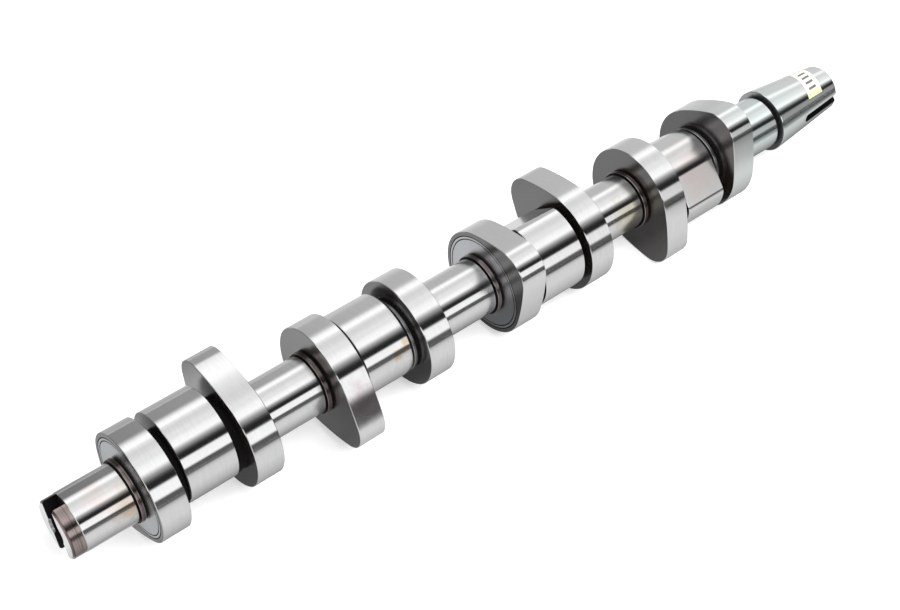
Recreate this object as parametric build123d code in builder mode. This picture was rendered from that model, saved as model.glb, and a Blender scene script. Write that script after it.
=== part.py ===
from build123d import *
import math
import os

# Camshaft of a four-cylinder diesel engine with unit injectors. Each cylinder has a pair of valve lobes with
# a wider injector cam between them. Lengths are in millimetres and angles in degrees.
#
# Frame: +X runs along the shaft from the pump end to the timing end, and the origin is the centre of the
# middle journal. +Z is up as the shaft lies at rest. Angles round the shaft run from +Y towards +Z.

# Stations along the shaft, measured from the middle journal; the layout is the same on both sides of it
inner_pair = (17.5, 72.3)       # outer faces of the valve lobe pair next to the middle journal
outer_pair = (104.0, 160.0)     # outer faces of the valve lobe pair next to an end journal
pump_end = -191.9
pump_band_length = 5.9
taper_start = 190.7
timing_end = 233.5

# Journals and the turned steps between them
journal_radius = 13.0
pump_band_radius = 12.75
hub_radius = 16.4
collar_radius = 14.0
collar_width = 2.8
relief_radius = 12.4
relief_width = 0.8
rim_chamfer = 0.8

# Valve lobes: a base circle and a nose arc joined by slightly bulged flanks, all tangent
lobe_width = 12.7
lobe_base_radius = 24.4
lobe_flank_radius = 100.0
lobe_nose_radius = 12.0
valve_lift = 8.6

# Injector cams: an eccentric filling ramp, a tight nose and a steep flat flank that drives the pump plunger
injector_width = 22.2
injector_base_radius = 16.8
injector_lift = 7.2
injector_nose_radius = 5.6
injector_flank_angle = -89.0    # outward normal of the flank, from the highest point

# Angles round the shaft
first_injector_angle = 46.8
cylinder_phases = (0.0, -90.0, 90.0, 180.0)     # cylinders in the order in which they stand
exhaust_angle = -115.0                          # lobe noses, from the highest point of the injector cam
intake_angle = -7.5

# Drive slot and centre bore in the pump end
slot_width = 8.2
slot_depth = 6.0
slot_angle = 71.8
centre_bore_radius = 5.0
centre_bore_depth = 16.0
centre_bore_mouth_radius = 5.6

# Tapered seat for the timing gear, with its keyway and the threaded hole for its bolt
taper_radius = 15.3
taper_ratio = 0.1               # fall in radius for each millimetre of length
undercut_radius = 12.6
undercut_width = 2.1
nose_chamfer = 2.0
keyway_angle = 173.8
keyway_width = 4.0
keyway_depth = 2.4
keyway_start = 207.5
thread_minor_radius = 5.1
thread_depth = 34.0
thread_mouth_radius = 6.4

# Paper label wrapped round the small end of the taper; it leans a little, as a straight strip does on a cone
label_width = 9.7
label_thickness = 0.12
label_middle = 219.0
label_lean = 10.3
label_lean_angle = 3.8          # side of the shaft where the label reaches nearest to the timing end
label_start_angle = -26.2
label_sweep = 162.0

drill_point_angle = 59.0        # half angle of a drilled hole's bottom
sink_angle = 30.0               # half angle of a centre-drilled mouth


def taper_radius_at(station):
    return taper_radius - taper_ratio * (station - taper_start)


def drilled_hole(mouth, inward, radius, depth, mouth_radius):
    """Half section of a drilled hole on the shaft's axis, with a flared mouth and a drill point."""
    flare = (mouth_radius - radius) / math.tan(math.radians(sink_angle))
    point = radius / math.tan(math.radians(drill_point_angle))
    return [
        (mouth, 0),
        (mouth, mouth_radius),
        (mouth + inward * flare, radius),
        (mouth + inward * depth, radius),
        (mouth + inward * (depth + point), 0),
    ]


cylinder_faces = [
    (-outer_pair[1], -outer_pair[0]),
    (-inner_pair[1], -inner_pair[0]),
    inner_pair,
    outer_pair,
]

# One valve lobe, its nose along the plane's X axis. Each flank arc wraps the base circle and the nose arc
# and touches both, so the three centres form a triangle with known sides, which gives the angle of its foot.
lobe_nose_centre = Vector(lobe_base_radius + valve_lift - lobe_nose_radius, 0)
flank_stand = lobe_flank_radius - lobe_base_radius
foot_angle = math.degrees(math.acos(
    ((lobe_flank_radius - lobe_nose_radius) ** 2 - lobe_nose_centre.length**2 - flank_stand**2)
    / (2 * lobe_nose_centre.length * flank_stand)
))
foot_direction = Vector(1, 0).rotate(Axis.Z, foot_angle)
flank_foot = foot_direction * lobe_base_radius
flank_lean = (lobe_nose_centre + foot_direction * flank_stand).normalized()
flank_top = lobe_nose_centre + flank_lean * lobe_nose_radius

with BuildPart() as valve_lobe:
    with BuildSketch(Plane.YZ):
        with BuildLine():
            heel = ThreePointArc(flank_foot, (-lobe_base_radius, 0), (flank_foot.X, -flank_foot.Y))
            opening = TangentArc(heel @ 1, (flank_top.X, -flank_top.Y), tangent=heel % 1)
            tip = TangentArc(opening @ 1, flank_top, tangent=opening % 1)
            TangentArc(tip @ 1, heel @ 0, tangent=tip % 1)
        make_face()
    extrude(amount=lobe_width)

# One injector cam, its highest point along the plane's X axis. The filling ramp is a circle that touches
# the base circle from outside at the heel and stands off it by the lift at the crest. The nose arc is
# tangent to that circle and to the flank, and the flank is tangent to the base circle.
ramp_radius = injector_base_radius + injector_lift / 2
ramp_centre = Vector(injector_lift / 2, 0)
flank_normal = Vector(1, 0).rotate(Axis.Z, injector_flank_angle)
flank_direction = flank_normal.rotate(Axis.Z, 90)
nose_height = injector_base_radius - injector_nose_radius
nose_reach = ramp_centre.dot(flank_direction) + math.sqrt(
    (ramp_radius - injector_nose_radius) ** 2 - (nose_height - ramp_centre.dot(flank_normal)) ** 2
)
nose_centre = flank_normal * nose_height + flank_direction * nose_reach
crest_end = ramp_centre + (nose_centre - ramp_centre).normalized() * ramp_radius

with BuildPart() as injector_cam:
    with BuildSketch(Plane.YZ.offset(-injector_width / 2)):
        with BuildLine():
            flank_end = nose_centre + flank_normal * injector_nose_radius
            flank = Line(flank_normal * injector_base_radius, flank_end)
            nose = TangentArc(flank @ 1, crest_end, tangent=flank % 1)
            ramp = TangentArc(nose @ 1, (-injector_base_radius, 0), tangent=nose % 1)
            TangentArc(ramp @ 1, flank @ 0, tangent=ramp % 1)
        make_face()
    extrude(amount=injector_width)

with BuildPart() as camshaft:
    # Spindle, turned in one outline from the pump end to the end of the taper
    with BuildSketch(Plane.XZ):
        with BuildLine():
            Polyline(
                (timing_end - nose_chamfer, taper_radius_at(timing_end - nose_chamfer)),
                (taper_start, taper_radius),
                (taper_start, undercut_radius),
                (taper_start - undercut_width, undercut_radius),
                (taper_start - undercut_width, journal_radius),
                (pump_end + pump_band_length, journal_radius),
                (pump_end + pump_band_length, pump_band_radius),
                (pump_end + rim_chamfer, pump_band_radius),
                (pump_end, pump_band_radius - rim_chamfer),
                (pump_end, 0),
                (timing_end, 0),
                (timing_end, taper_radius_at(timing_end) - nose_chamfer),
                close=True,
            )
        make_face()
    revolve(axis=Axis.X)

    # Hub that joins the cams of one cylinder, and a thrust collar on each side of it with a relief groove at
    # the edge of the journal
    for low, high in cylinder_faces:
        with BuildSketch(Plane.YZ.offset(low)):
            Circle(hub_radius)
        extrude(amount=high - low)
        for face, outward in ((low, -1), (high, 1)):
            with BuildSketch(Plane.YZ.offset(face)):
                Circle(collar_radius)
            extrude(amount=outward * collar_width)
            with BuildSketch(Plane.YZ.offset(face + outward * collar_width)):
                Circle(collar_radius)
                Circle(relief_radius, mode=Mode.SUBTRACT)
            extrude(amount=outward * relief_width, mode=Mode.SUBTRACT)

    # Cams, turned to their timing. The exhaust lobe of each pair is the one further from the middle journal.
    for (low, high), phase in zip(cylinder_faces, cylinder_phases):
        peak = first_injector_angle + phase
        exhaust_station, intake_station = low, high - lobe_width
        if low > 0:
            exhaust_station, intake_station = intake_station, exhaust_station
        with Locations(Location(((low + high) / 2, 0, 0), (peak, 0, 0))):
            add(injector_cam.part)
        with Locations(
            Location((exhaust_station, 0, 0), (peak + exhaust_angle, 0, 0)),
            Location((intake_station, 0, 0), (peak + intake_angle, 0, 0)),
        ):
            add(valve_lobe.part)

    # Slot across the pump end that drives the pump, over a centre bore
    with BuildSketch(Plane.YZ.offset(pump_end).rotated((slot_angle, 0, 0))):
        Rectangle(4 * journal_radius, slot_width)
    extrude(amount=slot_depth, mode=Mode.SUBTRACT)
    with BuildSketch(Plane.XZ):
        with BuildLine():
            Polyline(
                *drilled_hole(pump_end, 1, centre_bore_radius, centre_bore_depth, centre_bore_mouth_radius),
                close=True,
            )
        make_face()
    revolve(axis=Axis.X, mode=Mode.SUBTRACT)

    # Threaded hole in the timing end, at the thread's minor diameter
    with BuildSketch(Plane.XZ):
        with BuildLine():
            Polyline(
                *drilled_hole(timing_end, -1, thread_minor_radius, thread_depth, thread_mouth_radius),
                close=True,
            )
        make_face()
    revolve(axis=Axis.X, mode=Mode.SUBTRACT)

    # Keyway milled along the taper, round at its closed end and open at the timing end
    keyway_out = Vector(0, 1, 0).rotate(Axis.X, keyway_angle)
    keyway_along = (Vector(1, 0, 0) - keyway_out * taper_ratio).normalized()
    keyway_side = keyway_out.cross(keyway_along).normalized()
    keyway_plane = Plane(
        origin=Vector(keyway_start, 0, 0) + keyway_out * taper_radius_at(keyway_start),
        x_dir=keyway_along,
        z_dir=keyway_along.cross(keyway_side),
    )
    keyway_length = timing_end - keyway_start
    with BuildSketch(keyway_plane.offset(-keyway_depth)):
        with Locations((keyway_width / 2, 0)):
            Circle(keyway_width / 2)
            Rectangle(keyway_length, keyway_width, align=(Align.MIN, Align.CENTER))
    extrude(amount=2 * keyway_depth, mode=Mode.SUBTRACT)

# Paper label: a strip of the cone's own surface, cut to width by two parallel planes that lean a little
label_low = label_middle - label_width
label_high = label_middle + label_width
lean_side = Vector(0, 1, 0).rotate(Axis.X, label_lean_angle)
label_plane = Plane(
    origin=(label_middle, 0, 0),
    z_dir=Vector(1, 0, 0) - lean_side * math.tan(math.radians(label_lean)),
)
with BuildPart() as label:
    with BuildSketch(Plane.XY.rotated((label_start_angle, 0, 0))):
        with BuildLine():
            Polyline(
                (label_low, taper_radius_at(label_low)),
                (label_high, taper_radius_at(label_high)),
                (label_high, taper_radius_at(label_high) + label_thickness),
                (label_low, taper_radius_at(label_low) + label_thickness),
                close=True,
            )
        make_face()
    revolve(axis=Axis.X, revolution_arc=label_sweep)
    split(bisect_by=label_plane.offset(-label_width / 2), keep=Keep.TOP)
    split(bisect_by=label_plane.offset(label_width / 2), keep=Keep.BOTTOM)

camshaft.part.label = "camshaft"
label.part.label = "label"

os.makedirs("parts", exist_ok=True)
export_step(camshaft.part, "parts/camshaft.step")
export_step(label.part, "parts/label.step")
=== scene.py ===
# %% [markdown]
# # A ground steel camshaft
# This script dresses the shaft of a four-cylinder diesel engine: five bearing journals, eight valve lobes
# and four wide injector cams, all in one piece of steel, with a paper label on the tapered end. The packed
# model is loaded first and stays where it is. Everything else is made around it, in metres, with +X along
# the shaft.

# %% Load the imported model
import math

import bpy
from mathutils import Matrix, Vector


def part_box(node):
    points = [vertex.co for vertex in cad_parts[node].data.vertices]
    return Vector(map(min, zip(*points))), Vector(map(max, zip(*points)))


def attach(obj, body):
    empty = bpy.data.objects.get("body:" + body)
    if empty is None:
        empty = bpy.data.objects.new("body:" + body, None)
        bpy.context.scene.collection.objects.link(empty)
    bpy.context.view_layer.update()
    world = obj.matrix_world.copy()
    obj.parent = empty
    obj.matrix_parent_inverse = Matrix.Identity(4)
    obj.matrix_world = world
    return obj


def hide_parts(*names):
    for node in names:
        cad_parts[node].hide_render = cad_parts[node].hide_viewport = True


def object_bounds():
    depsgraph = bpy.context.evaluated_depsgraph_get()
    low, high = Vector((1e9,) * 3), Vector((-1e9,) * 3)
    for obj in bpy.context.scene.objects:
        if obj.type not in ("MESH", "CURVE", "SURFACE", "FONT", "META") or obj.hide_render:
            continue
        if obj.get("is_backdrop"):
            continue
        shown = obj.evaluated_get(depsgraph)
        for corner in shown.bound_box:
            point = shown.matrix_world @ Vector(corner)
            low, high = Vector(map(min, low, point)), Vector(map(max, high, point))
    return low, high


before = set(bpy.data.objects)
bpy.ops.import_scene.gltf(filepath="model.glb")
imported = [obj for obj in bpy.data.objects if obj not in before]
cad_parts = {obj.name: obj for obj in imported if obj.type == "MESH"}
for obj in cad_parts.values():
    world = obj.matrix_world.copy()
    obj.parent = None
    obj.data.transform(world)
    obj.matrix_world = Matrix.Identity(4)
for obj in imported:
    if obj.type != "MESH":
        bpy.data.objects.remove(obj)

cad_low, cad_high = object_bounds()
shaft_low, shaft_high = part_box("camshaft")
pump_end, timing_end = shaft_low.x, shaft_high.x
print("shaft length", round((timing_end - pump_end) * 1000, 1), "mm")

# %% [markdown]
# Every size below is a real one. Small helpers turn millimetres to Blender's metres, turn a colour written
# as on a paint chart, in sRGB hex, to the linear values that a shader needs, add a node to any tree with
# its settings, its values and its links in one call, and put new data into the scene.

# %% Helpers
def mm(value):
    return value / 1000


def colour(code):
    """An sRGB hex colour such as '#B0B4B8' as linear red, green, blue and alpha."""
    parts = [int(code[i:i + 2], 16) / 255 for i in (1, 3, 5)]
    linear = [p / 12.92 if p <= 0.04045 else ((p + 0.055) / 1.055) ** 2.4 for p in parts]
    return (*linear, 1.0)


def fill(tree, node, inputs):
    """Set a node's inputs, in order or by name. A node given as a value stands for its first live output."""
    for key, value in inputs.items() if isinstance(inputs, dict) else enumerate(inputs):
        if isinstance(value, bpy.types.Node):
            value = next(output for output in value.outputs if output.enabled)
        if isinstance(value, bpy.types.NodeSocket):
            tree.links.new(value, node.inputs[key])
        else:
            node.inputs[key].default_value = value


def add_node(tree, kind, inputs=(), **settings):
    """Add a node to a tree, with its settings first, because they decide which inputs it has."""
    node = tree.nodes.new(kind)
    for name, value in settings.items():
        setattr(node, name, value)
    fill(tree, node, inputs)
    return node


def link_object(name, data):
    """Put new object data into the scene, at the origin."""
    thing = bpy.data.objects.new(name, data)
    bpy.context.scene.collection.objects.link(thing)
    return thing


print("middle grey is", [round(part, 3) for part in colour("#808080")])

# %% [markdown]
# The shaft is turned and ground, so its skin follows one rule: at each station along the axis its outline
# is either a circle or a cam. The sizes of the cams are the ones they are ground to. Angles run from +Y
# towards +Z.

# %% Sizes of the shaft
middle_gap = (17.5, 72.3)           # outer faces of the lobe pair beside the middle journal
outer_gap = (104.0, 160.0)          # outer faces of the lobe pair beside an end journal
lobe_width, injector_width = 12.7, 22.2
journal_radius, band_radius, band_length = 13.0, 12.75, 5.9
hub_radius, ring_radius, ring_width = 16.0, 16.4, 1.4
collar_radius, collar_width, relief_radius, relief_width = 14.0, 2.0, 12.4, 0.8
thrust_grooves, groove_width, groove_depth, groove_side = (20.6, 22.0), 0.5, 0.2, 0.15
taper_start, taper_radius, taper_ratio = 190.7, 15.3, 0.1
undercut_radius, undercut_width, undercut_side = 12.6, 2.1, 0.4
edge_break, small_edge = 0.25, 0.2  # bevels left by deburring, on a ground edge and on a collar or a ring
first_injector_angle, cylinder_phases = 46.8, (0.0, -90.0, 90.0, 180.0)
exhaust_angle, intake_angle = -115.0, -7.5
lobe_base, lobe_flank, lobe_nose, lobe_lift = 24.4, 100.0, 12.0, 8.6
cam_base, cam_nose, cam_lift, cam_flank_angle = 16.8, 5.6, 7.2, -89.0
slot_width, slot_depth, slot_angle = 8.2, 6.0, 71.8
bore_radius, bore_depth, bore_mouth, mouth_depth = 5.0, 16.0, 5.6, 1.0
drill_point = 0.6                   # depth of the drill's point, as a share of the hole's radius
rim_chamfer, nose_chamfer = 0.8, 2.0
nose_along, nose_in = 0.45, 0.25    # a point on the rounded middle of the nose's chamfer, as shares of it
thread_minor, thread_major, thread_pitch, thread_mouth, sink_depth = 5.1, 5.9, 1.75, 6.4, 1.5
thread_depth, thread_runout, thread_point = 34.0, 4.0, 3.0
keyway_width, keyway_depth, keyway_start, keyway_angle = 4.0, 2.4, 207.5, 173.8
pump_face, timing_face = pump_end * 1000, timing_end * 1000


def taper_at(station):
    """Radius of the taper at a station, in millimetres."""
    return taper_radius - taper_ratio * (station - taper_start)


print("the taper ends", round(2 * taper_at(timing_face), 1), "mm across")

# %% [markdown]
# A cam's outline is a chain of arcs and flats. Written in polar form, each stretch has a start angle, a
# shape, the distance and direction of its centre from the shaft's axis, and its radius. A flat is a tangent
# line, which only needs its distance from the axis and the direction that it faces. The angles here come
# from the condition that each stretch is tangent to the next, so the outline has no kink anywhere.

# %% Outlines of the two kinds of cam
def valve_outline():
    """Stretches of a valve lobe, its nose at 0 degrees: base circle, flank, nose, flank, base circle."""
    reach = lobe_base + lobe_lift - lobe_nose
    stand = lobe_flank - lobe_base
    foot = math.acos(((lobe_flank - lobe_nose) ** 2 - reach**2 - stand**2) / (2 * reach * stand))
    lean = math.atan2(stand * math.sin(foot), reach + stand * math.cos(foot))
    top = math.atan2(lobe_nose * math.sin(lean), reach + lobe_nose * math.cos(lean))
    return [
        (-math.pi, "arc", 0.0, 0.0, lobe_base),
        (-foot, "arc", stand, math.pi - foot, lobe_flank),
        (-top, "arc", reach, 0.0, lobe_nose),
        (top, "arc", stand, math.pi + foot, lobe_flank),
        (foot, "arc", 0.0, 0.0, lobe_base),
    ]


def injector_outline():
    """Stretches of an injector cam, its highest point at 0 degrees and its steep flank before it."""
    ramp_radius, ramp_offset = cam_base + cam_lift / 2, cam_lift / 2
    facing = math.radians(cam_flank_angle)
    normal = Vector((math.cos(facing), math.sin(facing)))
    along = Vector((-normal.y, normal.x))
    ramp_centre = Vector((ramp_offset, 0))
    height = cam_base - cam_nose
    offset = height - ramp_centre.dot(normal)
    reach = ramp_centre.dot(along) + math.sqrt((ramp_radius - cam_nose) ** 2 - offset ** 2)
    nose = normal * height + along * reach
    flat_end = nose + normal * cam_nose
    crest = ramp_centre + (nose - ramp_centre).normalized() * ramp_radius
    return [
        (-math.pi, "arc", 0.0, 0.0, cam_base),
        (facing, "flat", 0.0, facing, cam_base),
        (math.atan2(flat_end.y, flat_end.x), "arc", nose.length, math.atan2(nose.y, nose.x), cam_nose),
        (math.atan2(crest.y, crest.x), "arc", ramp_offset, 0.0, ramp_radius),
    ]


outlines = {"valve lobe": valve_outline(), "injector cam": injector_outline()}
for name, stretches in outlines.items():
    print(name, "has", len(stretches), "stretches")

# %% [markdown]
# The stations are a list of rings from the pump end to the timing end. A ring has a kind of outline, a
# radius if it is round, the angle of its nose if it is a cam, and an inset that pulls it in to make a
# bevelled edge. It also has a finish, which covers the surface from it to the next ring. Two rings at one
# station make a flat side face.

# %% Rings, cams and steps
ROUND, VALVE, INJECTOR = range(3)
# The dull finish is painted shade: grooves, gaps, holes and cut recesses are coloured near black and matt
# where shadow would fall.
finish_names = ("Ground", "Coated", "Turned", "Tinted", "Dull")
GROUND, COATED, TURNED, TINTED, PAINTED_SHADE = range(len(finish_names))
rings = []


def ring(station, radius=0.0, finish=COATED, kind=ROUND, turn=0.0, inset=0.0, advance=0.0):
    """A ring, and the finish of the surface between it and the next one."""
    rings.append((station, radius, finish, kind, turn, inset, advance))


def finish_last(finish):
    """Give the surface that starts at the last ring another finish."""
    rings[-1] = (*rings[-1][:2], finish, *rings[-1][3:])


def cam(start, width, kind, turn):
    """A cam between two stations, with coated sides, and with its edges broken by a small bevel."""
    finish_last(COATED)
    ring(start, 0.0, GROUND, kind, turn, edge_break)
    ring(start + edge_break, 0.0, GROUND, kind, turn)
    ring(start + width - edge_break, 0.0, GROUND, kind, turn)
    ring(start + width, 0.0, COATED, kind, turn, edge_break)


# A step takes the dull finish, painted shade, unless it is given another.
def step(start, end, radius, finish=PAINTED_SHADE, edge=0.0):
    """A round step between two stations, with an optional bevel on both edges."""
    if edge:
        ring(start, radius - edge, finish)
    ring(start + edge, radius, finish)
    ring(end - edge, radius, finish)
    if edge:
        ring(end, radius - edge)


print("a valve lobe stands", lobe_base + lobe_lift, "mm high at its nose")

# %% [markdown]
# Every cylinder has the same set of cams: two valve lobes with a wide injector cam between them, turned to
# suit the cylinder's place in the firing order. At each end of the set a thin collar, tinted brown by the
# heat of hardening, stands between two narrow grooves. Two of the sets have a side face that was turned
# clean to take the shaft's end thrust. The gaps between cams are grooves with a low ring in the middle of
# each, where the tool that parted them left the full diameter.

# %% The cams of one cylinder
def collar(face, outward):
    """The thrust collar beside a lobe: a groove, the collar, and the relief groove at the journal's edge."""
    steps = [(relief_width, journal_radius), (collar_width, collar_radius), (relief_width, relief_radius)]
    near = 0.0
    built = []
    for width, radius in steps:
        built.append((face + outward * near, face + outward * (near + width), radius))
        near += width
    for start, end, radius in built if outward > 0 else reversed(built):
        # The two grooves take the dull finish, painted shade; the collar is tinted.
        look = (TINTED, small_edge) if radius == collar_radius else (PAINTED_SHADE, 0.0)
        step(min(start, end), max(start, end), radius, *look)


def thrust_face(face):
    """The machined side of a lobe that takes the end thrust, with two fine grooves round it."""
    finish_last(TURNED)
    for radius, beyond in zip(thrust_grooves, (TURNED, COATED)):
        # The fine grooves take the dull finish, painted shade.
        ring(face, radius, PAINTED_SHADE)
        ring(face + groove_depth, radius + groove_side, PAINTED_SHADE)
        ring(face + groove_depth, radius + groove_width - groove_side, PAINTED_SHADE)
        ring(face, radius + groove_width, beyond)


def cylinder_cams(low, high, phase, machined):
    """The collars, the two valve lobes and the injector cam of one cylinder."""
    peak = first_injector_angle + phase
    turns = (peak + exhaust_angle, peak + intake_angle)
    first, second = turns if low < 0 else reversed(turns)
    gap = (high - low - 2 * lobe_width - injector_width) / 2
    groove = (gap - ring_width) / 2
    collar(low, -1)
    if machined:
        thrust_face(low)
    cam(low, lobe_width, VALVE, first)
    for start in (low + lobe_width, high - lobe_width - gap):
        second_gap = start > low + lobe_width
        if second_gap:
            cam(start - injector_width, injector_width, INJECTOR, peak)
        # The groove floors, and the low ring unless it is the turned one, take the dull finish: painted
        # shade.
        look = TURNED if second_gap and not machined else PAINTED_SHADE
        step(start, start + groove, hub_radius)
        step(start + groove, start + groove + ring_width, ring_radius, look, small_edge)
        step(start + groove + ring_width, start + gap, hub_radius)
    cam(high - lobe_width, lobe_width, VALVE, second)
    collar(high, 1)


print("a set of cams is", round(middle_gap[1] - middle_gap[0], 1), "mm long")

# %% [markdown]
# Now the rings are listed from end to end: the centre bore and its bevelled mouth, the tinted band, the
# journals with a set of cams between each two, the undercut, the taper, and the threaded hole. They start
# and end on the axis, inside the two holes, so the skin closes on itself. The thread is a true helix, for
# which a ring's advance says how far it moves along the shaft in one turn.

# %% Stations along the shaft
cylinders = [
    (-outer_gap[1], -outer_gap[0]), (-middle_gap[1], -middle_gap[0]), middle_gap, outer_gap,
]
machined_cylinders = (0, 2)
journal_step = collar_width + 2 * relief_width
band_end, undercut_start = pump_face + band_length, taper_start - undercut_width

# The centre bore, and further on the undercut and the threaded hole, take the dull finish: painted shade.
ring(pump_face + bore_depth + bore_radius * drill_point, 0.0, PAINTED_SHADE)
ring(pump_face + bore_depth, bore_radius, PAINTED_SHADE)
ring(pump_face + mouth_depth, bore_radius, TURNED)
ring(pump_face, bore_mouth, GROUND)
ring(pump_face, band_radius - rim_chamfer, TINTED)
ring(pump_face + rim_chamfer, band_radius, TINTED)
ring(band_end, band_radius, GROUND)
ring(band_end + (journal_radius - band_radius), journal_radius, GROUND)
for index, ((low, high), phase) in enumerate(zip(cylinders, cylinder_phases)):
    ring(low - journal_step, journal_radius)
    cylinder_cams(low, high, phase, index in machined_cylinders)
    ring(high + journal_step, journal_radius, GROUND)
ring(undercut_start, journal_radius, PAINTED_SHADE)
ring(undercut_start + undercut_side, undercut_radius, PAINTED_SHADE)
ring(taper_start, undercut_radius, TURNED)
ring(taper_start, taper_radius - edge_break, GROUND)
ring(taper_start + edge_break, taper_at(taper_start + edge_break), GROUND)
ring(timing_face - nose_chamfer, taper_at(timing_face - nose_chamfer), GROUND)
ring(timing_face - nose_chamfer * nose_along, taper_at(timing_face) - nose_chamfer * nose_in, GROUND)
ring(timing_face, taper_at(timing_face) - nose_chamfer, TURNED)
ring(timing_face, thread_mouth, TURNED)
thread_start = timing_face - sink_depth
ring(thread_start, thread_minor, PAINTED_SHADE)
thread_form = [(0.1, thread_minor), (0.5, thread_major), (0.9, thread_minor)]
for thread in range(int((thread_depth - thread_runout) / thread_pitch)):
    for share, radius in thread_form:
        ring(thread_start - (thread + share) * thread_pitch, radius, PAINTED_SHADE, advance=-thread_pitch)
ring(timing_face - thread_depth, thread_minor, PAINTED_SHADE)
ring(timing_face - thread_depth - thread_point, 0.0)
print(len(rings), "rings from", round(pump_face, 1), "to", round(timing_face, 1), "mm")

# %% [markdown]
# The rings become a small mesh with one point for each, which carries its values as attributes. Geometry
# Nodes will read them and bend a flat grid round the axis: one side of the grid picks the ring and the
# other the angle. A shape that follows a rule is best made so, because one change to a size moves every
# face that depends on it.

# %% The ring points
points = bpy.data.meshes.new("ring_points")
points.from_pydata([(mm(r[0]), 0, 0) for r in rings], [], [])
for column, name in enumerate(("station", "radius", "finish", "kind", "turn", "inset", "advance")):
    values = points.attributes.new(name, "FLOAT", "POINT")
    scale = {"finish": 1.0, "kind": 1.0, "turn": math.pi / 180}.get(name, 0.001)
    values.data.foreach_set("value", [r[column] * scale for r in rings])
shaft = link_object("ground_shaft", points)
print("ring points:", len(points.vertices))

# %% [markdown]
# Each stretch of a cam's outline has a formula in polar form. Let a be the angle away from the direction
# of the stretch's centre, c the distance of that centre and r the radius. Then an arc lies at c cos a +
# the root of (r squared - (c sin a) squared), and a flat at r / cos a. The nodes work out every stretch,
# and a chain of switches keeps the one that the angle falls in.

# %% A cam's outline in nodes
def outline_radius(tree, angle, stretches):
    """The radius of a chain of arcs and flats at an angle."""
    result = None
    for start, shape, distance, direction, radius in stretches:
        aside = add_node(tree, "ShaderNodeMath", [angle, direction], operation="SUBTRACT")
        cosine = add_node(tree, "ShaderNodeMath", [aside], operation="COSINE")
        if shape == "flat":
            here = add_node(tree, "ShaderNodeMath", [mm(radius), cosine], operation="DIVIDE")
        else:
            sine = add_node(tree, "ShaderNodeMath", [aside], operation="SINE")
            across = add_node(tree, "ShaderNodeMath", [sine, mm(distance)], operation="MULTIPLY")
            square = add_node(tree, "ShaderNodeMath", [across, 2.0], operation="POWER")
            rest = add_node(tree, "ShaderNodeMath", [mm(radius) ** 2, square], operation="SUBTRACT")
            root = add_node(tree, "ShaderNodeMath", [rest], operation="SQRT")
            here = add_node(tree, "ShaderNodeMath", [cosine, mm(distance), root], operation="MULTIPLY_ADD")
        if result is None:
            result = here
            continue
        past = add_node(tree, "FunctionNodeCompare", [angle, start], operation="GREATER_THAN")
        result = add_node(tree, "GeometryNodeSwitch", [past, result, here], input_type="FLOAT")
    return result


print("outlines to choose from:", ", ".join(outlines))

# %% [markdown]
# The drive slot and the keyway were milled after the shaft was turned, so they are cut out of the closed
# skin with a boolean. The slot's cutter is a block, and the keyway's is a block and a round end, leaned to
# follow the taper. The cutters carry the number of the dull finish, which their cut faces keep: painted
# shade, near black and matt, inside the slot and the keyway.

# %% Milling cutters
def mill(tree, given, skin):
    """Cut the drive slot and the keyway out of the skin."""
    both_ways = add_node(tree, "ShaderNodeMath", [given["Slot Depth"], 2.0], operation="MULTIPLY")
    slot_size = add_node(
        tree, "ShaderNodeCombineXYZ", [both_ways, given["Slot Width"], mm(4 * journal_radius)]
    )
    slot = add_node(tree, "GeometryNodeMeshCube", {"Size": slot_size})
    key_top = Matrix.Rotation(math.radians(keyway_angle - 90), 4, "X")
    key_turn = key_top @ Matrix.Rotation(math.atan(taper_ratio), 4, "Y")
    key_start = key_top @ Vector((mm(keyway_start), 0, mm(taper_at(keyway_start) - keyway_depth)))
    length, height = 2 * (timing_face - keyway_start), 10.0
    key_size = add_node(tree, "ShaderNodeCombineXYZ", [mm(length), given["Keyway Width"], mm(height)])
    block = add_node(tree, "GeometryNodeMeshCube", {"Size": key_size})
    key_radius = add_node(tree, "ShaderNodeMath", [given["Keyway Width"], 0.5], operation="MULTIPLY")
    end = add_node(
        tree, "GeometryNodeMeshCylinder", {"Vertices": 48, "Radius": key_radius, "Depth": mm(height)}
    )
    cutters = [(slot, (mm(pump_face), 0, 0), (math.radians(slot_angle - 90), 0, 0))]
    for cutter, centre in ((block, length / 2 + keyway_width / 2), (end, keyway_width / 2)):
        place = key_start + key_turn @ Vector((mm(centre), 0, mm(height / 2)))
        cutters.append((cutter, place, key_turn.to_euler()))
    for cutter, place, turn in cutters:
        moved = add_node(
            tree, "GeometryNodeTransform", {"Geometry": cutter, "Translation": place, "Rotation": turn}
        )
        marked = add_node(
            tree, "GeometryNodeStoreNamedAttribute",
            {"Geometry": moved, "Name": "finish", "Value": PAINTED_SHADE}, domain="FACE",
        )
        skin = add_node(tree, "GeometryNodeMeshBoolean", {"Mesh 1": skin, "Mesh 2": marked}, solver="EXACT")
    return skin


print("slot", slot_width, "mm wide, keyway", keyway_width, "mm wide")

# %% [markdown]
# The last nodes shade the skin. Edges that bend more than the sharp angle stay crisp and the rest are
# smooth, so a ground cylinder mirrors without facets. Then each face gets the material of its finish.

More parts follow.
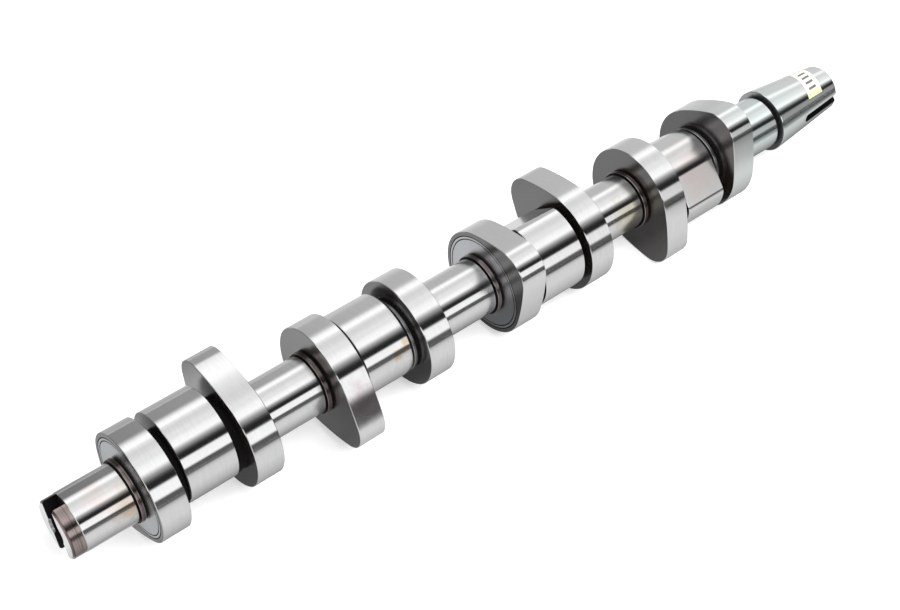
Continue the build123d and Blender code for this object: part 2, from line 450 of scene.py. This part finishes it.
# %% Finishing nodes
def finish_skin(tree, given, skin):
    """Shade the skin smooth between its sharp edges, and give each kind of surface its finish."""
    bend = add_node(tree, "GeometryNodeInputMeshEdgeAngle")
    sharp = add_node(tree, "FunctionNodeCompare", [bend, given["Sharp Angle"]], operation="GREATER_THAN")
    faces = add_node(tree, "GeometryNodeSetShadeSmooth", {0: skin, "Shade Smooth": True}, domain="FACE")
    edges = add_node(
        tree, "GeometryNodeSetShadeSmooth",
        {0: faces, "Selection": sharp, "Shade Smooth": False}, domain="EDGE",
    )
    finish = add_node(tree, "GeometryNodeInputNamedAttribute", {"Name": "finish"})
    solid = add_node(tree, "GeometryNodeRealizeInstances", [edges])
    result = add_node(tree, "GeometryNodeSetMaterial", {0: solid, "Material": given["Ground"]})
    for number in (COATED, TURNED, TINTED, PAINTED_SHADE):
        chosen = add_node(
            tree, "FunctionNodeCompare", {0: finish, 1: number, "Epsilon": 0.1}, operation="EQUAL"
        )
        result = add_node(
            tree, "GeometryNodeSetMaterial",
            {0: result, "Selection": chosen, "Material": given[finish_names[number]]},
        )
    return result


print("finishes are chosen by number, from", GROUND, "to", PAINTED_SHADE)

# %% [markdown]
# The whole rule comes together here. Its named inputs are the ring points, the steps round the shaft, the
# sharp angle, the cutters' sizes and the five materials. The finish is stored on faces and not on points,
# because a point on an edge belongs to two finishes.

# %% The rule for the skin
skin_sizes = {
    "Steps Round": 360, "Sharp Angle": math.radians(25), "Slot Width": mm(slot_width),
    "Slot Depth": mm(slot_depth), "Keyway Width": mm(keyway_width),
}


def ring_value(tree, given, name, number):
    """One of a ring's values, read from the ring points by the number of the ring."""
    value = add_node(tree, "GeometryNodeInputNamedAttribute", {"Name": name})
    return add_node(
        tree, "GeometryNodeSampleIndex", {"Geometry": given["Geometry"], "Value": value, "Index": number}
    )


def make_skin_tree():
    """Geometry Nodes that wrap a grid round the axis by the ring points, then mill and finish it."""
    tree = bpy.data.node_groups.new("shaft_skin", "GeometryNodeTree")
    kinds = {"Geometry": "Geometry"}
    kinds.update((name, "Int" if isinstance(size, int) else "Float") for name, size in skin_sizes.items())
    kinds.update((name, "Material") for name in finish_names)
    for name, kind in kinds.items():
        tree.interface.new_socket(name, in_out="INPUT", socket_type="NodeSocket" + kind)
    tree.interface.new_socket("Geometry", in_out="OUTPUT", socket_type="NodeSocketGeometry")
    given = add_node(tree, "NodeGroupInput").outputs
    count = add_node(tree, "GeometryNodeAttributeDomainSize", [given["Geometry"]]).outputs["Point Count"]
    around = add_node(tree, "ShaderNodeMath", [given["Steps Round"], 1.0], operation="ADD")
    grid = add_node(tree, "GeometryNodeMeshGrid", {"Vertices X": around, "Vertices Y": count})
    place = add_node(tree, "GeometryNodeInputPosition")
    parts = add_node(tree, "ShaderNodeSeparateXYZ", [place])
    turn_share, ring_share = (
        add_node(tree, "ShaderNodeMath", [parts.outputs[side], 0.5], operation="ADD") for side in (0, 1)
    )
    last = add_node(tree, "ShaderNodeMath", [count, 1.0], operation="SUBTRACT")
    ring_place = add_node(tree, "ShaderNodeMath", [ring_share, last], operation="MULTIPLY")
    own_ring = add_node(tree, "ShaderNodeMath", [ring_place], operation="ROUND")
    angle = add_node(tree, "ShaderNodeMath", [turn_share, 2 * math.pi], operation="MULTIPLY")
    station, chosen, kind, turn, inset, advance = (
        ring_value(tree, given, name, own_ring)
        for name in ("station", "radius", "kind", "turn", "inset", "advance")
    )
    local = add_node(tree, "ShaderNodeMath", [angle, turn], operation="SUBTRACT")
    wrapped = add_node(tree, "ShaderNodeMath", [local, math.pi, -math.pi], operation="WRAP")
    for number, name in ((VALVE, "valve lobe"), (INJECTOR, "injector cam")):
        own = outline_radius(tree, wrapped, outlines[name])
        is_kind = add_node(
            tree, "FunctionNodeCompare", {0: kind, 1: number, "Epsilon": 0.1}, operation="EQUAL"
        )
        chosen = add_node(tree, "GeometryNodeSwitch", [is_kind, chosen, own], input_type="FLOAT")
    radius = add_node(tree, "ShaderNodeMath", [chosen, inset], operation="SUBTRACT")
    cosine = add_node(tree, "ShaderNodeMath", [angle], operation="COSINE")
    sine = add_node(tree, "ShaderNodeMath", [angle], operation="SINE")
    y = add_node(tree, "ShaderNodeMath", [radius, cosine], operation="MULTIPLY")
    z = add_node(tree, "ShaderNodeMath", [radius, sine], operation="MULTIPLY")
    x = add_node(tree, "ShaderNodeMath", [turn_share, advance, station], operation="MULTIPLY_ADD")
    spot = add_node(tree, "ShaderNodeCombineXYZ", [x, y, z])
    first_ring = add_node(tree, "ShaderNodeMath", [ring_place], operation="FLOOR")
    finish = ring_value(tree, given, "finish", first_ring)
    dressed = add_node(
        tree, "GeometryNodeStoreNamedAttribute",
        {"Geometry": grid, "Name": "finish", "Value": finish}, domain="FACE",
    )
    moved = add_node(tree, "GeometryNodeSetPosition", {"Geometry": dressed, "Position": spot})
    closed = add_node(tree, "GeometryNodeMergeByDistance", {"Geometry": moved, "Distance": 2e-6})
    add_node(tree, "NodeGroupOutput", [finish_skin(tree, given, mill(tree, given, closed))])
    return tree


skin_rule = make_skin_tree()
print("rule for the skin:", len(skin_rule.nodes), "nodes")

# %% [markdown]
# ## The finishes
# The shaft is one piece of steel with four finishes, and a fifth, painted shade, darkens its recesses. The
# cams and journals are ground. The side faces keep the black coat that the whole casting was given before
# grinding. In the grooves, the gaps between the cams, the holes, the slot and the keyway, that coat is
# painted near black and matt, as painted shade. Two lobes are turned clean for a thrust washer, as are
# the timing end and a few narrow shoulders. The end band and the collars are tinted by heat. Each finish
# is a Principled shader with real values first and marks second. Marks read Object coordinates, so they
# stay on the metal whatever the camera does.

# %% What the finishes share
finishes = {}
stain_wander = 9                   # how far a stain's edge wanders in and out, in millimetres


def new_finish(name):
    """A new material, its node tree, its shader and the place of each point on it."""
    material = bpy.data.materials.new(name)
    material.use_nodes = True
    tree = material.node_tree
    place = add_node(tree, "ShaderNodeTexCoord").outputs["Object"]
    return material, tree, tree.nodes["Principled BSDF"], place


def keep_finish(name, material):
    """File a finished material under the name that the skin's rule has for it."""
    finishes[name] = material
    print(material.name, "has", len(material.node_tree.nodes), "nodes")


def make_bare_metal(tree, shader, share):
    """Bare metal, its gloss stretched across marks that run round the shaft, as a lathe leaves them."""
    tangent = add_node(tree, "ShaderNodeTangent", direction_type="RADIAL", axis="X")
    gloss = {"Tangent": tangent, "Anisotropic": share, "Anisotropic Rotation": 0.25}
    fill(tree, shader, {"Metallic": 1.0, **gloss})


def axis_distance(tree, place):
    """Distance of each point from the shaft's axis."""
    across = add_node(tree, "ShaderNodeVectorMath", [place, (0, 1, 1)], operation="MULTIPLY")
    return add_node(tree, "ShaderNodeVectorMath", [across], operation="LENGTH")


def stained(tree, place, result, stains):
    """Lay soft stains over a colour. A stain has a station, a radius, an angle, a size and a tint."""
    wander = add_node(tree, "ShaderNodeTexNoise", {"Vector": place, "Scale": 1 / mm(5), "Detail": 4.0})
    ragged = add_node(
        tree, "ShaderNodeMapRange",
        {"Value": wander, "To Min": mm(-stain_wander), "To Max": mm(stain_wander)},
    )
    for station, radius, angle, size, tint in stains:
        turn = math.radians(angle)
        centre = (mm(station), mm(radius) * math.cos(turn), mm(radius) * math.sin(turn))
        away = add_node(tree, "ShaderNodeVectorMath", [place, centre], operation="DISTANCE")
        uneven = add_node(tree, "ShaderNodeMath", [away, ragged], operation="ADD")
        cover = add_node(
            tree, "ShaderNodeMapRange", {"Value": uneven, "From Min": mm(size), "From Max": 0.0},
            interpolation_type="SMOOTHSTEP",
        )
        result = add_node(
            tree, "ShaderNodeMix", {"Factor": cover, 6: result, 7: colour(tint)}, data_type="RGBA"
        )
    return result


print("a stain's edge wanders by", stain_wander, "mm either way")

# %% [markdown]
# Ground bearing steel is a mirror with a grain. The wheel's marks run round the shaft, so a reflection
# stays sharp round it, where it forms the long bright and dark bands, and is smeared along it, where a
# neighbouring cam would otherwise show as a hard shape. That is an anisotropic gloss. Real marks are about
# 0.02 mm apart, far too fine to show, so they are drawn 0.8 mm apart. Oil and handling have left a few
# brown, pink and olive stains near the cams.

# %% Finish: ground bearing steel
mark_pitch, mark_length, mark_height = 0.8, 7, 0.0015
shaft_stains = [
    (-166, 13.0, 150, 11, "#CFBFAE"),
    (-174, 13.0, 118, 10, "#E6DAD8"),
    (-65, 28.0, 164, 14, "#CDC2C6"),
    (-38, 16.8, 152, 6, "#D6C0A8"),
    (95, 13.0, 158, 15, "#D3CDB8"),
    (134, 20.0, 142, 24, "#DED0CE"),
    (178, 15.0, 170, 60, "#DDE6E4"),
]


def make_ground_steel():
    """Steel ground and polished round the shaft: bright, sharp along the marks and soft across them."""
    material, tree, shader, place = new_finish("ground_steel")
    drawn_out = (1 / mm(mark_pitch), 1 / mm(mark_length), 1 / mm(mark_length))
    stretched = add_node(tree, "ShaderNodeMapping", {"Vector": place, "Scale": drawn_out})
    marks = add_node(
        tree, "ShaderNodeTexNoise", {"Vector": stretched, "Scale": 1.0, "Detail": 3.0, "Roughness": 0.6}
    )
    cloud = add_node(tree, "ShaderNodeTexNoise", {"Vector": place, "Scale": 1 / mm(14), "Detail": 3.0})
    both = add_node(tree, "ShaderNodeMath", [marks, cloud], operation="ADD")
    worn = add_node(
        tree, "ShaderNodeMix",
        {"Factor": marks, 6: colour("#E8E8E7"), 7: colour("#DBDCDD")}, data_type="RGBA",
    )
    fill(tree, shader, {
        "Base Color": stained(tree, place, worn, shaft_stains),
        "Roughness": add_node(
            tree, "ShaderNodeMapRange", {"Value": both, "From Max": 2.0, "To Min": 0.09, "To Max": 0.18}
        ),
        "Normal": add_node(tree, "ShaderNodeBump", {"Height": marks, "Distance": mm(mark_height)}),
    })
    make_bare_metal(tree, shader, 0.95)
    return material


keep_finish("Ground", make_ground_steel())

# %% [markdown]
# The black coat is manganese phosphate, a crystal layer grown on the steel and soaked with oil. It isn't a
# metal to the eye: its own colour is nearly black, and its gloss is that of the oil, weak face on and
# strong at a flat angle. So a side face seen along the shaft looks light grey, and one seen squarely looks
# black. The crystals are about 5 microns across, far too fine to show, and are drawn 0.35 mm across.

# %% Finish: black phosphate coat
def make_coated_steel():
    """Oiled phosphate on the side faces: black, with a satin gloss that grows at a flat angle."""
    material, tree, shader, place = new_finish("phosphate_coated_steel")
    cloud = add_node(tree, "ShaderNodeTexNoise", {"Vector": place, "Scale": 1 / mm(9), "Detail": 5.0})
    crystals = add_node(tree, "ShaderNodeTexNoise", {"Vector": place, "Scale": 1 / mm(0.35), "Detail": 3.0})
    fill(tree, shader, {
        "Base Color": add_node(
            tree, "ShaderNodeMix",
            {"Factor": cloud, 6: colour("#15110F"), 7: colour("#28221E")}, data_type="RGBA",
        ),
        "Roughness": add_node(tree, "ShaderNodeMapRange", {"Value": cloud, "To Min": 0.16, "To Max": 0.3}),
        "Normal": add_node(tree, "ShaderNodeBump", {"Height": crystals, "Distance": mm(0.003)}),
        "IOR": 2.2,
    })
    return material


keep_finish("Coated", make_coated_steel())

# %% [markdown]
# In the grooves, the gaps between the cams, the holes, the slot and the keyway, the same coat is painted
# near black and matt: painted shade where little light gets in, so the gaps between the cams stay black.
# It is the same recipe with the gloss taken out.

# %% Finish: painted shade in the grooves
def make_painted_shade_steel():
    """The same coat painted near black and matt in recesses, as painted shade, with a faint lighter speckle.
    """
    material, tree, shader, place = new_finish("painted_shade_phosphate")
    speckle = add_node(tree, "ShaderNodeTexNoise", {"Vector": place, "Scale": 1 / mm(2), "Detail": 5.0})
    fill(tree, shader, {
        "Base Color": add_node(
            tree, "ShaderNodeMix",
            {"Factor": speckle, 6: colour("#050505"), 7: colour("#100F0F")}, data_type="RGBA",
        ),
        "Roughness": 0.6,
        "Specular IOR Level": 0.2,
    })
    return material


keep_finish("Dull", make_painted_shade_steel())

# %% [markdown]
# A face turned on a lathe has rings about its centre. Their height depends only on the distance from the
# shaft's axis, so the pattern reads that distance and nothing else. The feed was about 0.12 mm a turn,
# drawn as 0.5 mm.

# %% Finish: turned thrust faces
def make_turned_steel():
    """Side faces turned clean for a thrust washer: satin grey, with rings round the axis."""
    material, tree, shader, place = new_finish("turned_steel")
    rings_at = add_node(tree, "ShaderNodeCombineXYZ", [axis_distance(tree, place)])
    feed = add_node(tree, "ShaderNodeTexNoise", {"Vector": rings_at, "Scale": 1 / mm(0.5), "Detail": 2.0})
    fill(tree, shader, {
        "Base Color": add_node(
            tree, "ShaderNodeMix",
            {"Factor": feed, 6: colour("#A4A6A9"), 7: colour("#BFC1C4")}, data_type="RGBA",
        ),
        "Normal": add_node(tree, "ShaderNodeBump", {"Height": feed, "Distance": mm(0.004)}),
        "Roughness": 0.3,
    })
    make_bare_metal(tree, shader, 0.6)
    return material


keep_finish("Turned", make_turned_steel())

# %% [markdown]
# The narrow band at the pump end and the collars beside the cams were turned and then hardened with a
# flame. The heat left a thin oxide that looks brown and violet, and the lathe's rings show as darker lines.

# %% Finish: heat-tinted band and collars
def make_tinted_steel():
    """Turned steel tinted brown and violet by heat, with rings 1.2 mm apart."""
    material, tree, shader, place = new_finish("heat_tinted_steel")
    parts = add_node(tree, "ShaderNodeSeparateXYZ", [place])
    along = add_node(tree, "ShaderNodeCombineXYZ", [parts])
    feed = add_node(
        tree, "ShaderNodeTexNoise", {"Vector": along, "Scale": 1 / mm(1.2), "Detail": 3.0, "Roughness": 0.7}
    )
    blush = add_node(tree, "ShaderNodeTexNoise", {"Vector": place, "Scale": 1 / mm(8), "Detail": 3.0})
    tint = add_node(
        tree, "ShaderNodeMix",
        {"Factor": blush, 6: colour("#A59B97"), 7: colour("#9A8B8C")}, data_type="RGBA",
    )
    line = add_node(tree, "ShaderNodeMapRange", {"Value": feed, "From Min": 0.35, "From Max": 0.5})
    fill(tree, shader, {
        "Base Color": add_node(
            tree, "ShaderNodeMix", {"Factor": line, 6: colour("#6E5E5A"), 7: tint}, data_type="RGBA"
        ),
        "Normal": add_node(tree, "ShaderNodeBump", {"Height": feed, "Distance": mm(0.02)}),
        "Roughness": 0.2,
    })
    make_bare_metal(tree, shader, 0.6)
    return material


keep_finish("Tinted", make_tinted_steel())

# %% [markdown]
# The modifier's inputs are set by their identifiers before the object is first evaluated. The evaluated
# result is then turned into a plain mesh, and the modifier goes, so that what is left is only a mesh
# with its materials.

# %% Build the shaft
rule = shaft.modifiers.new("skin", "NODES")
rule.node_group = skin_rule
sockets = {item.name: item.identifier for item in skin_rule.interface.items_tree if item.in_out == "INPUT"}
for name, value in (*skin_sizes.items(), *finishes.items()):
    rule[sockets[name]] = value
seen = shaft.evaluated_get(bpy.context.evaluated_depsgraph_get())
skin = bpy.data.meshes.new_from_object(seen)
shaft.modifiers.clear()
shaft.data = skin
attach(shaft, "root")
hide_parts("camshaft")
skin.calc_loop_triangles()
print("shaft skin:", len(skin.loop_triangles), "triangles,", len(finishes), "finishes")

# %% [markdown]
# The label is a strip of paper that winds round the taper at a slant. Its node is already in the model, so
# it only needs its finish. The pattern unrolls the strip: one value runs along it from its lower end, and
# another across it. The print on it is four plain bars, and the glue has yellowed the lower end.

# %% Label
label_middle, label_slant, label_high_side, label_end = 219.0, 10.3, 3.8, 135.8
bar_pitch, bar_width, bar_length, bar_first, bar_count = 3.1, 1.3, 5.2, 4.2, 4
yellow_from, yellow_full = 4.5, 1.5


def unroll(tree, place):
    """Distance along the label from its lower end, and across it from its middle."""
    parts = add_node(tree, "ShaderNodeSeparateXYZ", [place])
    angle = add_node(tree, "ShaderNodeMath", [parts.outputs[2], parts.outputs[1]], operation="ARCTAN2")
    reach = axis_distance(tree, place)
    turned = add_node(tree, "ShaderNodeMath", [math.radians(label_end), angle], operation="SUBTRACT")
    along = add_node(tree, "ShaderNodeMath", [turned, reach], operation="MULTIPLY")
    swing = add_node(tree, "ShaderNodeMath", [angle, math.radians(label_high_side)], operation="SUBTRACT")
    lean = add_node(tree, "ShaderNodeMath", [swing], operation="COSINE")
    drift = add_node(tree, "ShaderNodeMath", [lean, reach], operation="MULTIPLY")
    slant = math.tan(math.radians(label_slant))
    centre = add_node(tree, "ShaderNodeMath", [drift, slant, mm(label_middle)], operation="MULTIPLY_ADD")
    across = add_node(tree, "ShaderNodeMath", [parts.outputs[0], centre], operation="SUBTRACT")
    return along, across


def print_bars(tree, along, across):
    """One where the ink is and zero elsewhere, for a row of plain bars across the label."""
    offset = add_node(tree, "ShaderNodeMath", [along, mm(bar_first)], operation="SUBTRACT")
    folded = add_node(tree, "ShaderNodeMath", [offset, mm(bar_pitch / 2)], operation="PINGPONG")
    aside = add_node(tree, "ShaderNodeMath", [across], operation="ABSOLUTE")
    ink = add_node(tree, "ShaderNodeMath", [folded, mm(bar_width / 2)], operation="LESS_THAN")
    for value, test, limit in (
        (along, "LESS_THAN", bar_first + (bar_count - 0.5) * bar_pitch),
        (along, "GREATER_THAN", bar_first - bar_width),
        (aside, "LESS_THAN", bar_length / 2),
    ):
        within = add_node(tree, "ShaderNodeMath", [value, mm(limit)], operation=test)
        ink = add_node(tree, "ShaderNodeMath", [ink, within], operation="MULTIPLY")
    return ink


def make_label_paper():
    """Off-white paper with faint fibres, four printed bars and a yellowed end."""
    material, tree, shader, place = new_finish("label_paper")
    along, across = unroll(tree, place)
    fibres = add_node(tree, "ShaderNodeTexNoise", {"Vector": place, "Scale": 1 / mm(0.6), "Detail": 4.0})
    paper = add_node(
        tree, "ShaderNodeMix",
        {"Factor": fibres, 6: colour("#EFEEE8"), 7: colour("#DFDDD2")}, data_type="RGBA",
    )
    aged = add_node(
        tree, "ShaderNodeMapRange",
        {"Value": along, "From Min": mm(yellow_from), "From Max": mm(yellow_full)},
    )
    faded = add_node(tree, "ShaderNodeMath", [print_bars(tree, along, across), 0.85], operation="MULTIPLY")
    for share, code in ((aged, "#DAD9A0"), (faded, "#2C2A28")):
        layer = {"Factor": share, 6: paper, 7: colour(code)}
        paper = add_node(tree, "ShaderNodeMix", layer, data_type="RGBA")
    relief = add_node(tree, "ShaderNodeBump", {"Height": fibres, "Distance": mm(0.02)})
    fill(tree, shader, {"Base Color": paper, "Normal": relief, "Roughness": 0.55})
    return material


label_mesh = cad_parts["label"].data
label_mesh.materials.clear()
label_mesh.materials.append(make_label_paper())
print("label carries", label_mesh.materials[0].name)

# %% [markdown]
# ## The studio
# The shaft lies on a pale floor. It touches it with one cam nose near each end and the edge of a third cam,
# so it leans a little, and the floor is turned by that angle to meet it. The floor is white card. Where the
# camera or the metal looks straight at it, it also glows a little, so that it reads as plain white but
# keeps the shaft's shadow.

# %% Floor
floor_slope, floor_height, floor_reach, floor_glow = 0.02309, -28.094, 3.0, 0.35
square = [(0, 1, 2, 3)]


def floor_corners(reach, lift):
    """The corners of a square sheet that lies on the floor's slope, a little above it."""
    around = ((-reach, -reach), (reach, -reach), (reach, reach), (-reach, reach))
    return [(x, y, mm(floor_height) + lift + floor_slope * x) for x, y in around]


def make_sheet(name, corners, faces, cover):
    """A card, a cloth or a floor in the scene, and the empty tree of its material."""
    mesh = bpy.data.meshes.new(name)
    mesh.from_pydata(corners, [], faces)
    material = bpy.data.materials.new(cover)
    material.use_nodes = True
    material.node_tree.nodes.clear()
    mesh.materials.append(material)
    return link_object(name, mesh), material.node_tree


def seen_directly(tree, *kinds):
    """One for the kinds of ray that see a thing rather than gather its light, and zero for the others."""
    rays = add_node(tree, "ShaderNodeLightPath").outputs
    result = rays[kinds[0]]
    for kind in kinds[1:]:
        result = add_node(tree, "ShaderNodeMath", [result, rays[kind]], operation="MAXIMUM")
    return result


floor, tree = make_sheet("floor", floor_corners(floor_reach, 0), square, "floor_paper")
floor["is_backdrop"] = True
direct = seen_directly(tree, "Is Camera Ray", "Is Glossy Ray")
level = add_node(tree, "ShaderNodeMath", [direct, floor_glow], operation="MULTIPLY")
glow = add_node(tree, "ShaderNodeEmission", {"Color": (1, 1, 1, 1), "Strength": level})
chalk = add_node(tree, "ShaderNodeBsdfDiffuse", {"Color": colour("#F4F4F4")})
both = add_node(tree, "ShaderNodeAddShader", [chalk, glow])
add_node(tree, "ShaderNodeOutputMaterial", [both])
print("floor slopes", round(math.degrees(math.atan(floor_slope)), 2), "degrees along the shaft")

# %% [markdown]
# The world is an even white room. What the camera or the metal sees of it is plain white, and the light
# that it throws on the floor and the label is a little weaker, so that pale surfaces don't burn out.

# %% World
world_throw = 0.75                 # how much of its light the world throws on pale surfaces
world = bpy.data.worlds.new("studio")
bpy.context.scene.world = world
world.use_nodes = True
tree = world.node_tree
tree.nodes.clear()
direct = seen_directly(tree, "Is Camera Ray", "Is Glossy Ray", "Is Transmission Ray")
level = add_node(tree, "ShaderNodeMapRange", {"Value": direct, "To Min": world_throw, "To Max": 1.0})
sky = add_node(tree, "ShaderNodeBackground", {"Color": (1, 1, 1, 1), "Strength": level})
add_node(tree, "ShaderNodeOutputWorld", [sky])
print("world throws", world_throw, "of the light that it shows")

# %% [markdown]
# Polished metal has no look of its own: it shows what stands round it. So the bands on a shaft in a studio
# are the panels of the light tent that it lies in. Here the tent is a long cylinder of cloth round the
# shaft's axis, and its light depends on the angle round that axis, from the camera's side up over the top.
# From the front it has a dark gap above the floor, a bright strip light, a black flag, a wide soft panel, a
# second strip, and a grey back wall. The tent shows in reflections only.

# %% Zones of light
unseen_by = ("camera", "diffuse", "shadow", "transmission", "volume_scatter")


def levels_over(tree, where, marks):
    """Light that varies from place to place. Marks are places with their levels, in order."""
    low, high = marks[0][0], marks[-1][0]
    share = add_node(tree, "ShaderNodeMapRange", {"Value": where, "From Min": low, "From Max": high})
    ramp = add_node(tree, "ShaderNodeValToRGB", [share])
    stops = ramp.color_ramp.elements
    for value, level in marks[1:-1]:
        stops.new((value - low) / (high - low))
    for stop, (value, level) in zip(stops, marks):
        stop.position, stop.color = (value - low) / (high - low), (level, level, level, 1)
    return ramp


def glow_in_zones(tree, across, along, zones):
    """Let a card glow by its zones. A zone has its levels across the shaft and its levels along it."""
    total = 0.0
    for across_marks, along_marks in zones.values():
        levels = [levels_over(tree, across, across_marks), levels_over(tree, along, along_marks)]
        total = add_node(tree, "ShaderNodeMath", [*levels, total], operation="MULTIPLY_ADD")
    light = add_node(tree, "ShaderNodeEmission", {"Color": (1, 1, 1, 1), "Strength": total})
    add_node(tree, "ShaderNodeOutputMaterial", [light])


def reflected_only(thing):
    """Let a card show in the polished metal only, as one that stands out of the camera's sight would."""
    thing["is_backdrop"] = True
    for ray in unseen_by:
        setattr(thing, "visible_" + ray, False)


print("a reflected card is hidden from:", ", ".join(unseen_by))

# %% [markdown]
# The tent's zones are the panels, which are the same all along the shaft, the strip light at the front,
# which dims towards the timing end, and the back wall, which gets lighter that way. The marks are degrees
# round the axis, from the camera's side, and then metres along the shaft with a share of the level there.

# %% Light tent
tent_radius, tent_half, tent_sides, camera_side = 1.5, 5.0, 180, 123.8
corners, faces = [], []
for side in range(tent_sides):
    swing = 2 * math.pi * side / tent_sides
    for x in (-tent_half, tent_half):
        corners.append((x, tent_radius * math.cos(swing), tent_radius * math.sin(swing)))
    after = (side + 1) % tent_sides
    faces.append((2 * side, 2 * side + 1, 2 * after + 1, 2 * after))
tent, tree = make_sheet("light_tent", corners, faces, "tent_cloth")
reflected_only(tent)
place = add_node(tree, "ShaderNodeSeparateXYZ", [add_node(tree, "ShaderNodeTexCoord").outputs["Object"]])
swing = add_node(tree, "ShaderNodeMath", [place.outputs[2], place.outputs[1]], operation="ARCTAN2")
off = add_node(tree, "ShaderNodeMath", [math.radians(camera_side), swing], operation="SUBTRACT")
wrapped = add_node(tree, "ShaderNodeMath", [off, math.pi, -math.pi], operation="WRAP")
degrees = add_node(tree, "ShaderNodeMath", [wrapped], operation="DEGREES")
tent_zones = {
    "panels": (
        [
            (-180, 0.5), (-60, 0.15), (-47, 0.1), (-21.5, 0.02), (-13, 0.02), (-8, 0.09), (0, 0.45),
            (5, 0.9), (9, 1.3), (20, 1.2), (28, 1.02), (36, 1.02), (42, 0.92), (52, 0.85),
            (60, 1.05), (64, 1.35), (71, 1.3), (78, 0.95), (86, 0.0), (180, 0.0),
        ],
        [(0, 1.0), (2, 1.0)],
    ),
    "front strip": (
        [(-180, 0.0), (-47, 0.0), (-44, 1.15), (-25, 1.15), (-21.5, 0.0), (180, 0.0)],
        [(0, 1.0), (0.9, 1.0), (1.04, 0.8), (1.18, 0.68), (1.33, 0.33), (2, 0.25)],
    ),
    "back wall": (
        [(-180, 0.0), (80, 0.0), (86, 1.0), (180, 1.0)],
        [
            (0, 0.18), (0.145, 0.22), (0.22, 0.34), (0.44, 0.46), (0.55, 0.58), (1.05, 0.62),
            (1.35, 0.76), (2, 0.8),
        ],
    ),
}
glow_in_zones(tree, degrees, place.outputs[0], tent_zones)
print("light tent:", tent_sides, "sides,", 2 * tent_half, "m long")

# %% [markdown]
# The lower half of each cam mirrors the floor. Close under the shaft that floor is in shade, in front it is
# white card that fades with distance, and behind it a bright sheet lights the side faces. A card that lies
# a hair above the floor carries those levels, by the distance in front of the shaft or behind it. It shows
# in reflections only.

# %% Shade card
card_reach, card_lift = 1.4, 0.0001
card, tree = make_sheet("shade_card", floor_corners(card_reach, card_lift), square, "shade_board")
reflected_only(card)
place = add_node(tree, "ShaderNodeSeparateXYZ", [add_node(tree, "ShaderNodeTexCoord").outputs["Object"]])
card_zones = {
    "far in front": (
        [(-0.4, 0.15), (-0.35, 0.45), (-0.15, 0.8), (-0.09, 0.83), (-0.06, 0.0), (0.4, 0.0)],
        [(-0.3, 1.0), (0.16, 1.0), (0.21, 0.7), (0.3, 0.36), (0.41, 0.2), (1.0, 0.15)],
    ),
    "near in front": (
        [
            (-0.4, 0.0), (-0.09, 0.0), (-0.06, 0.82), (-0.041, 0.7), (-0.028, 0.56), (-0.02, 0.42),
            (-0.012, 0.33), (-0.006, 0.0), (0.4, 0.0),
        ],
        [(-0.3, 1.0), (0.3, 1.0)],
    ),
    "under the shaft": (
        [(-0.4, 0.0), (-0.012, 0.0), (-0.006, 1.0), (0.012, 1.0), (0.02, 0.0), (0.4, 0.0)],
        [
            (-0.3, 0.75), (-0.166, 0.75), (-0.15, 0.2), (-0.1, 0.2), (-0.078, 0.4), (-0.06, 0.15),
            (0.02, 0.2), (0.095, 0.2), (0.12, 0.12), (0.3, 0.12),
        ],
    ),
    "close behind": (
        [(-0.4, 0.0), (0.01, 0.0), (0.02, 1.0), (0.05, 1.0), (0.07, 0.0), (0.4, 0.0)],
        [
            (-0.3, 0.9), (-0.18, 0.9), (-0.164, 0.6), (-0.143, 1.35), (-0.1, 1.1), (-0.079, 0.85),
            (-0.06, 0.95), (0.035, 1.0), (0.07, 0.9), (0.12, 0.75), (0.3, 0.75),
        ],
    ),
    "far behind": (
        [(-0.4, 0.0), (0.05, 0.0), (0.07, 0.88), (0.09, 0.84), (0.12, 0.76), (0.19, 0.7), (0.4, 0.65)],
        [
            (-0.3, 0.35), (-0.16, 0.4), (-0.13, 0.65), (-0.1, 0.7), (-0.05, 0.75), (0.0, 0.9),
            (0.04, 1.0), (0.3, 1.0),
        ],
    ),
}
glow_in_zones(tree, place.outputs[1], place.outputs[0], card_zones)
print("shade card:", 2 * card_reach, "m square")

# %% [markdown]
# One softbox in front gives the floor and the label a direction of light and throws the soft shadow. It
# doesn't show in the metal, which has the tent for that.

# %% Key lamp
lamp = bpy.data.lights.new("softbox", "AREA")
lamp.shape = "RECTANGLE"
lamp.size, lamp.size_y, lamp.energy = 0.9, 0.6, 12
key = link_object("softbox", lamp)
key.location = (0.15, -0.5, 0.9)
key.rotation_mode = "QUATERNION"
key.rotation_quaternion = (-Vector(key.location)).to_track_quat("-Z", "Y")
key.visible_glossy = False
print("softbox:", lamp.energy, "W")

# %% [markdown]
# The camera stands close to the pump end and looks down along the shaft, so that end is large and the far
# end small. Its turn is built from three plain angles: round the upright axis, up from the floor, and a
# little roll.

# %% Camera
lens = bpy.data.cameras.new("camera")
lens.lens = 65.33
camera = link_object("camera", lens)
camera.location = (mm(-308.51), mm(-350.07), mm(520.13))
azimuth, elevation, roll = math.radians(-41.3265), math.radians(48.2526), math.radians(3.0352)
heading = Matrix.Rotation(azimuth, 3, "Z")
tilt = Matrix.Rotation(math.pi / 2 - elevation, 3, "X")
camera.rotation_euler = (heading @ tilt @ Matrix.Rotation(roll, 3, "Z")).to_euler()
bpy.context.scene.camera = camera
bpy.context.scene.view_settings.view_transform = "Standard"
print("camera", round(camera.location.length, 2), "m from the middle of the shaft")

# %% [markdown]
# Dressing the model is meant to leave its size as it was. The box of the dressed shaft is measured again,
# and its largest difference from the box at the start is printed.

# %% Measure
new_low, new_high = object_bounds()
growth = max(map(abs, (*(new_low - cad_low), *(new_high - cad_high))))
print("largest difference from the model's box:", round(growth * 1000, 3), "mm")
